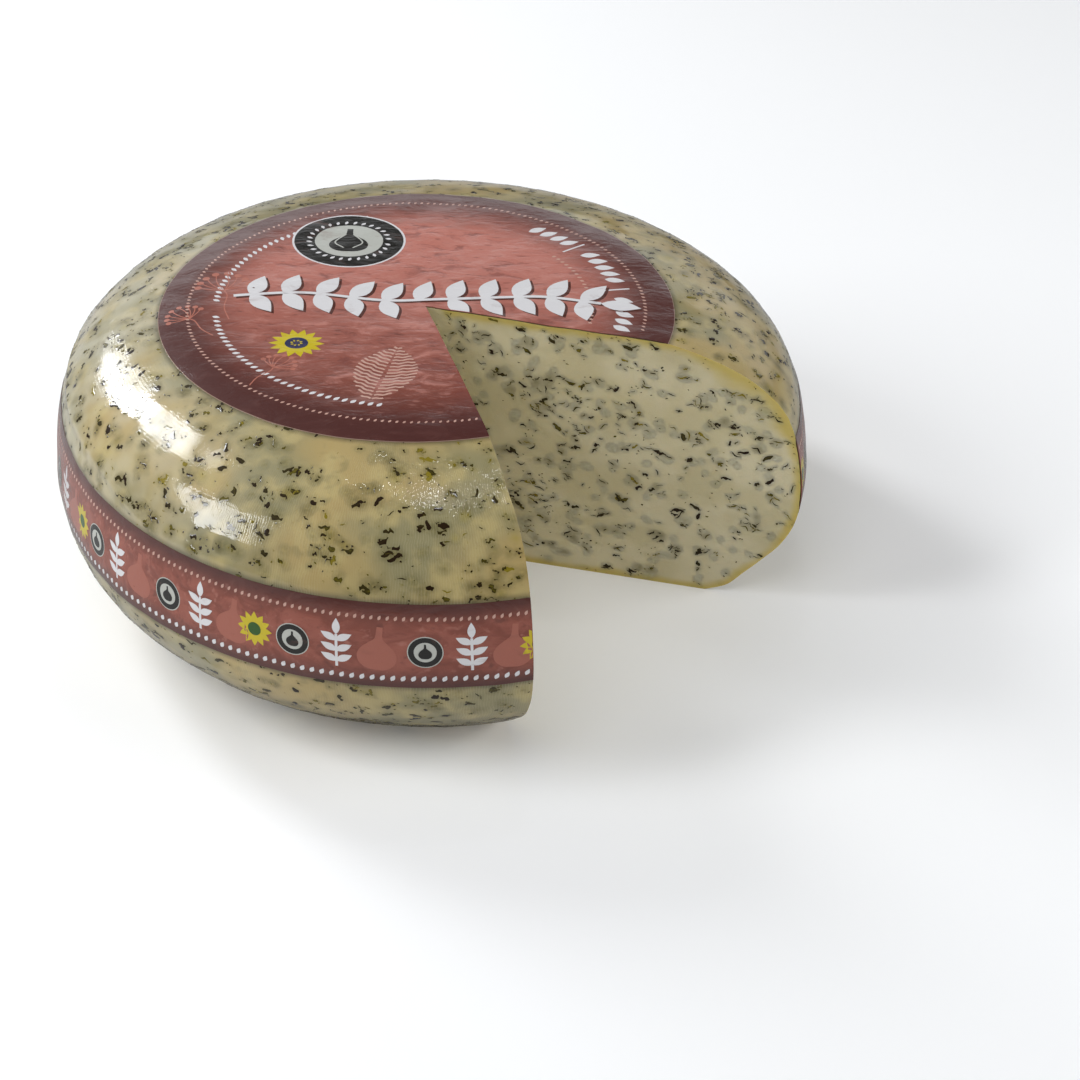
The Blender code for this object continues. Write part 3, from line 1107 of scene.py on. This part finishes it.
band_film, tree, shader, relief, scratches = film_finish("terracotta_strip")
from_middle = add(tree, "Math", *attributes(tree, "upward"), operation="ABSOLUTE")
colour = lay_over(
    tree,
    "#814334",
    ("#9b5747", relief, 0.36, 0.66, 1.0),
    ("#b8796a", scratches, 0.58, 0.74, 0.5),
    ("#5f352c", scratches, 0.42, 0.26, 0.5),
    ("#4e2d29", from_middle, 5.5, 13.5, 0.9),
)
tree.links.new(colour, shader.inputs["Base Color"])

band_angles = cut_angles(BAND_COLUMNS)
band_low = length_at(BAND_BOTTOM)
band_high = length_at(BAND_TOP)
band_middle = (band_low + band_high) / 2
lengths = np.linspace(band_low, band_high, BAND_ROWS)[:, None]
face = side_skin(band_angles, lengths, PRINT_LIFT)
back = side_skin(band_angles, lengths, PRINT_BACK)[::-1]
band_ring = BAND_COLUMNS + 1
last = (2 * BAND_ROWS - 1) * band_ring
column = np.arange(BAND_COLUMNS)
closing = np.stack([last + column, last + column + 1, column + 1, column], axis=1)
points = np.concatenate([face, back]).reshape(-1, 3)
band = make_piece("band", points * MM, sheet_faces(BAND_ROWS, band_ring) + [closing], (band_film,))
upward = (lengths - band_middle).ravel()
store(band, "upward", np.repeat(np.concatenate([upward, upward[::-1]]), band_ring))
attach(band, "root")
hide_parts("side_band")

# The printed shapes: a generic garland of leaves with a drop shadow, a roundel with a garlic bulb,
# a yellow flower, a hatched leaf, faint flower heads and chains of small leaves round the edge.
# Each is an outline filled with small triangles, laid on the film as a thin closed layer of ink.
INK_STEP = 2.2
INK_LAYER = 0.02
INK_DEPTH = 0.06
INK_INSET = 0.1
LEAF_POINTS = 9
SEED_POINTS = 5
BULB_SIDE = (
    (0.0, 0.12),
    (0.04, 0.24),
    (0.15, 0.36),
    (0.32, 0.40),
    (0.48, 0.34),
    (0.62, 0.20),
    (0.74, 0.08),
    (1.0, 0.06),
)
STALK = ((0, 0), (0.25, 0.03), (0.5, -0.02), (0.62, 0.0))
GARLAND = ((-58, 3), (-35, 6), (-10, 3), (15, 5), (40, 7), (58, 3))
CLOVE_LINE = ((1.5, 0.0), (4.5, 4.0), (1.2, 9.5))
CLOVE_FOOT = (-24, 38.0)
ROUNDEL_CENTRE = (-24, 43)
FLOWER_CENTRE = (-36, -26)


def arc(radius, start_deg, end_deg, steps=60):
    """Points along part of a circle about the middle."""
    turn = np.radians(np.linspace(start_deg, end_deg, steps))
    return radius * np.stack([np.cos(turn), np.sin(turn)], axis=1)


def placed(outline, root, turn_deg):
    """An outline turned about the origin and then moved to its root."""
    x, y = outline.T
    cos, sin = math.cos(math.radians(turn_deg)), math.sin(math.radians(turn_deg))
    return np.stack([root[0] + x * cos - y * sin, root[1] + x * sin + y * cos], axis=1)


def leaf(root, turn_deg, long, wide, bend=0.0, points=LEAF_POINTS):
    """A pointed oval from its root. Half its width goes as the sine of the way along, and it bends."""
    t = np.linspace(0, 1, points)
    half = wide / 2 * np.sin(math.pi * t**0.85)
    middle = bend * np.sin(math.pi * t / 2) * t
    x = long * np.concatenate([t, t[-2:0:-1]])
    y = np.concatenate([middle + half, (middle - half)[-2:0:-1]])
    return placed(np.stack([x, y], axis=1), root, turn_deg)


def ribbon(path, width):
    """The outline of a stroke of one width along a path."""
    way = np.gradient(path, axis=0)
    normal = np.stack([-way[:, 1], way[:, 0]], axis=1) / np.linalg.norm(way, axis=1)[:, None]
    return np.vstack([path + normal * width / 2, (path - normal * width / 2)[::-1]])


def disc(centre, radius, points=32):
    """A circle's outline."""
    turn = np.linspace(0, 2 * math.pi, points, endpoint=False)
    return np.stack([centre[0] + radius * np.cos(turn), centre[1] + radius * np.sin(turn)], axis=1)


def bulb(root, turn_deg, tall):
    """A garlic bulb standing on its root: mirrored half widths at heights, with a thin neck."""
    side = tall * smooth_profile(BULB_SIDE, 3)
    return placed(np.concatenate([side, side[::-1] * (1, -1)]), root, turn_deg)


def leaves_along(path, pitch, long, wide, lean_deg, bend=0.0, points=LEAF_POINTS):
    """Leaves at even steps along a path, each leaning from its direction by the same angle."""
    length = np.concatenate([[0], np.cumsum(np.hypot(*np.diff(path, axis=0).T))])
    at = np.arange(pitch / 2, length[-1], pitch)
    way = np.gradient(path, axis=0)
    turns = np.interp(at, length, np.unwrap(np.arctan2(way[:, 1], way[:, 0])))
    roots = np.stack([np.interp(at, length, path[:, k]) for k in (0, 1)], axis=1)
    leans = [math.degrees(turn) + lean_deg for turn in turns]
    return [leaf(root, lean, long, wide, bend, points) for root, lean in zip(roots, leans)]


def seeds_along(path, pitch, long, wide, lean_deg=60.0):
    """Small leaves of few points, for the fine chains."""
    return leaves_along(path, pitch, long, wide, lean_deg, 0.0, SEED_POINTS)


def sprig(path, pitch, long, wide, lean_deg, stem):
    """A stem with leaves on both sides and one at its tip."""
    shapes = [ribbon(path, stem)]
    for side in (1, -1):
        shapes += leaves_along(path, pitch, long, wide, side * lean_deg, side * long * 0.12)
    way = path[-1] - path[-2]
    return shapes + [leaf(path[-1], math.degrees(math.atan2(way[1], way[0])), long, wide)]


def daisy(centre, radius, petals):
    """Petals round a middle, each a blunt leaf from near the middle out to the radius."""
    return [
        leaf(centre + root, turn, radius * 0.8, 4.6 * radius / petals)
        for turn in np.arange(petals) * 360.0 / petals
        for root in arc(radius * 0.2, turn, turn, 1)
    ]


def umbel(root, turn_deg, tall):
    """A herb's flower head in thin lines: a bent stalk and a fan of rays that end in small rings."""
    stalk = smooth_profile(STALK, 5) * tall
    strokes = [ribbon(stalk, 0.4)]
    for lean in np.linspace(-65, 65, 8):
        tip = arc(tall * (0.38 - abs(lean) * 0.0016), lean, lean, 1)[0]
        ray = np.linspace(stalk[-1], stalk[-1] + tip, 6)
        ray[:, 1] += 0.03 * tall * np.sin(np.linspace(0, math.pi, 6)) * np.sign(lean)
        ring = disc(stalk[-1] + tip * 1.08, tall * 0.035, 12)
        strokes += [ribbon(ray, 0.35), ribbon(np.vstack([ring, ring[:2]]), 0.3)]
    return [placed(stroke, root, turn_deg) for stroke in strokes]


def hatched_leaf(root, turn_deg, long, wide, count):
    """A leaf drawn in wavy strokes from its midrib, as long as the leaf is wide there."""
    strokes = []
    for t in np.linspace(0.08, 0.95, count):
        half = wide / 2 * math.sin(math.pi * t**0.85)
        out = np.linspace(0.06, 1, 7) * half
        lift = long * t + 0.45 * out + 0.35 * np.sin(out * 1.6)
        for side in (1, -1):
            stroke = ribbon(np.stack([lift, side * out], axis=1), 0.75)
            strokes.append(placed(stroke, root, turn_deg))
    return strokes


def cut_off(outline, normal, limit):
    """An outline without what lies further along the normal than the limit."""
    beyond = outline @ normal - limit
    following = np.roll(beyond, -1)
    kept = beyond <= 0
    crossed = kept != (following <= 0)
    share = (beyond / np.where(crossed, beyond - following, 1.0))[crossed, None]
    corners = outline[crossed] + share * (np.roll(outline, -1, axis=0) - outline)[crossed]
    order = np.argsort(np.concatenate([np.flatnonzero(kept), np.flatnonzero(crossed) + 0.5]))
    return np.vstack([outline[kept], corners])[order]


def cut_with_label(outline):
    """An outline on the label, without what the missing wedge took. Nothing is left of some."""
    apex = np.array(CUT_APEX) - LABEL_CENTRE
    for cut in cuts:
        flat, outward = cut[1][:2], cut[2][:2]
        beyond = (outline - apex) @ outward + INK_INSET
        if ((outline - apex) @ flat).min() > 0 and beyond.max() > 0 and beyond.min() < 0:
            outline = cut_off(outline, outward, apex @ outward - INK_INSET)
    in_wedge = np.min([(outline - apex) @ cut[2][:2] for cut in cuts], axis=0)
    return outline[:0] if in_wedge.max() > 0 else outline


def fill(outline):
    """Small triangles over an outline, with inner points on a grid."""
    low, high = outline.min(axis=0), outline.max(axis=0)
    steps = [np.arange(a + INK_STEP / 2, b, INK_STEP) for a, b in zip(low, high)]
    inner = np.stack(np.meshgrid(*steps), axis=-1).reshape(-1, 2)
    inner = inner[inside_outline(*inner.T, outline)]
    inner = inner[rim_distance(*inner.T, outline) > INK_STEP / 3]
    places = [Vector(place) for place in np.vstack([outline, inner])]
    filled = delaunay_2d_cdt(places, [], [list(range(len(outline)))], 1, 1e-5)
    return np.array([tuple(place) for place in filled[0]]), np.array(filled[2])


def lay_ink(name, shapes, cut_with_film, surface):
    """One piece of printed shapes, from outlines with their ink and their layer, on a surface."""
    points, triangles, rims, triangle_inks, rim_inks = [], [], [], [], []
    first = 0
    for outlines, ink, layer in shapes:
        for outline in map(cut_with_film, outlines):
            if len(outline) <= 3:
                continue
            places, inside = fill(outline)
            count = len(places)
            points.append(surface(places, PRINT_LIFT + INK_LAYER * layer))
            points.append(surface(places, PRINT_LIFT - INK_DEPTH))
            edges = np.vstack([inside[:, :2], inside[:, 1:], inside[:, ::2][:, ::-1]])
            rim = edges[~np.isin(edges @ (count, 1), edges @ (1, count))]
            triangles += [inside + first, inside[:, ::-1] + first + count]
            rims.append(np.hstack([rim, rim[:, ::-1] + count]) + first)
            triangle_inks.append(np.full(2 * len(inside), ink))
            rim_inks.append(np.full(len(rim), ink))
            first += 2 * count
    faces = [np.vstack(triangles), np.vstack(rims)]
    slots = np.concatenate(triangle_inks + rim_inks)
    piece = make_piece(name, np.vstack(points) * MM, faces, inks, slots)
    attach(piece, "root")


def ink_finish(name, code):
    """One printed colour, worn a little along the film's relief."""
    made, tree, shader, relief, _ = film_finish(name)
    worn = lay_over(tree, code, ("#7a4a3e", relief, 0.45, 0.3, 0.25))
    tree.links.new(worn, shader.inputs["Base Color"])
    return made


INK_CODES = {
    "white": "#dcdadb",
    "cream": "#c79f90",
    "dark": "#1d1b17",
    "pale": "#b9bab2",
    "yellow": "#c9b51f",
    "blue": "#2b2f55",
    "shadow": "#52281f",
    "faint": "#b3705f",
    "blush": "#a4604f",
    "green": "#2f5a1c",
}
inks = [ink_finish(name + "_ink", code) for name, code in INK_CODES.items()]
WHITE, CREAM, DARK, PALE, YELLOW, BLUE, SHADOW, FAINT, BLUSH, GREEN = range(len(INK_CODES))

title = sprig(smooth_profile(GARLAND, 12), 10.5, 13.0, 6.4, 58.0, 1.5)
clove_lines = [
    ribbon(smooth_profile(np.array(CLOVE_LINE) * (side, 1) + CLOVE_FOOT, 5), 0.5)
    for side in (-1, 1)
]
wreath = leaves_along(arc(14.0, 0, 360), 3.1, 2.2, 1.1, 70.0)
umbels = umbel((-58, -12), 100.0, 30.0) + umbel((-62, -22), 128.0, 22.0) + umbel((-48, -52), 60.0, 20.0)
spokes = [np.linspace(59.5, 68.5, 4)[:, None] * arc(1.0, turn, turn, 1) for turn in (39, 11)]
label_shapes = [
    ([shape + (0.9, -1.0) for shape in title], SHADOW, 1),
    (title, WHITE, 2),
    ([disc(ROUNDEL_CENTRE, 18.6, 48)], WHITE, 1),
    ([disc(ROUNDEL_CENTRE, 17.9, 48)], DARK, 2),
    ([disc(ROUNDEL_CENTRE, 11.2, 40)], PALE, 3),
    ([shape + ROUNDEL_CENTRE for shape in wreath], WHITE, 3),
    ([bulb((-24, 35.5), 90.0, 16.0)], DARK, 4),
    (clove_lines, PALE, 5),
    (daisy(FLOWER_CENTRE, 8.6, 14), YELLOW, 1),
    ([disc(FLOWER_CENTRE, 3.6)], BLUE, 2),
    (seeds_along(arc(2.0, 0, 360) + FLOWER_CENTRE, 1.6, 1.1, 0.7, 70.0), YELLOW, 3),
    (hatched_leaf((-12, -62), 78.0, 36.0, 19.0, 17), CREAM, 1),
    (umbels, FAINT, 1),
    (seeds_along(arc(72.6, -12, 289), 2.15, 1.5, 0.8), CREAM, 1),
]
for run in ((106, 181), (188, 262)):
    label_shapes.append((leaves_along(arc(64.2, *run), 2.7, 2.6, 1.35, 62.0, 0.0, 7), WHITE, 1))
for run in ((58, 42), (36, 14), (8, -14)):
    label_shapes.append((leaves_along(arc(62.5, *run, 20), 4.4, 6.6, 3.2, 62.0), WHITE, 1))
label_shapes.append(([ribbon(spoke, 0.7) for spoke in spokes], WHITE, 1))
label_shapes.append((seeds_along(arc(54.5, 40, -10, 30), 2.3, 1.6, 0.9), CREAM, 1))


def on_label(places, lift):
    """Points of the label's face, from places about its centre."""
    return top_skin(places[:, 0] + LABEL_CENTRE[0], places[:, 1] + LABEL_CENTRE[1], lift)


lay_ink("label_ink", label_shapes, cut_with_label, on_label)

# The same inks on the band: roundels, sprigs, bulbs and flowers in turn between two chains.
BAND_PERIOD = 82.0
BAND_STEP = 38.0
FIRST_ROUNDEL = -68.0
FLOWER_OFFSET = 70.0
MOTIF_FOOT = -7.5
band_length = (angles[-1] - angles[0]) * WHEEL_RADIUS


def on_band(places, lift):
    """Points of the band's face, from millimetres round it and up from its middle."""
    return side_skin(angles[0] + places[:, 0] / WHEEL_RADIUS, band_middle + places[:, 1], lift)


def cut_with_band(outline):
    """An outline on the band, without what lies past its ends."""
    for way, limit in ((-1.0, 0.0), (1.0, band_length)):
        outline = cut_off(outline, np.array([way, 0.0]), limit - 2 * INK_INSET)
    return outline


band_shapes = []
for start in np.arange(FIRST_ROUNDEL, band_length + 2, BAND_PERIOD):
    for x in (start, start + BAND_STEP):
        roundel = ((5.1, PALE), (4.8, DARK), (3.2, PALE))
        band_shapes += [([disc((x, -1.2), size)], ink, k + 1) for k, (size, ink) in enumerate(roundel)]
        stem = np.linspace((x + 13.0, MOTIF_FOOT), (x + 13.0, 3.0), 8)
        band_shapes += [
            ([bulb((x, -3.4), 90.0, 4.8)], DARK, 4),
            (sprig(stem, 3.4, 5.0, 2.3, 55.0, 0.8), WHITE, 1),
            ([bulb((x + 24.0, MOTIF_FOOT), 84.0, 14.0)], BLUSH, 1),
        ]
    flower = (start + FLOWER_OFFSET, -1.0)
    band_shapes += [(daisy(flower, 5.6, 12), YELLOW, 1), ([disc(flower, 2.1)], GREEN, 2)]
line = np.linspace((0.0, 0.0), (band_length, 0.0), 400)
band_shapes += [
    (seeds_along(line + (0, 8.6), 2.3, 1.6, 0.9, 62.0), CREAM, 1),
    (seeds_along(line + (0, -11.3), 2.9, 2.3, 1.4, 62.0), WHITE, 1),
]
lay_ink("band_ink", band_shapes, cut_with_band, on_band)
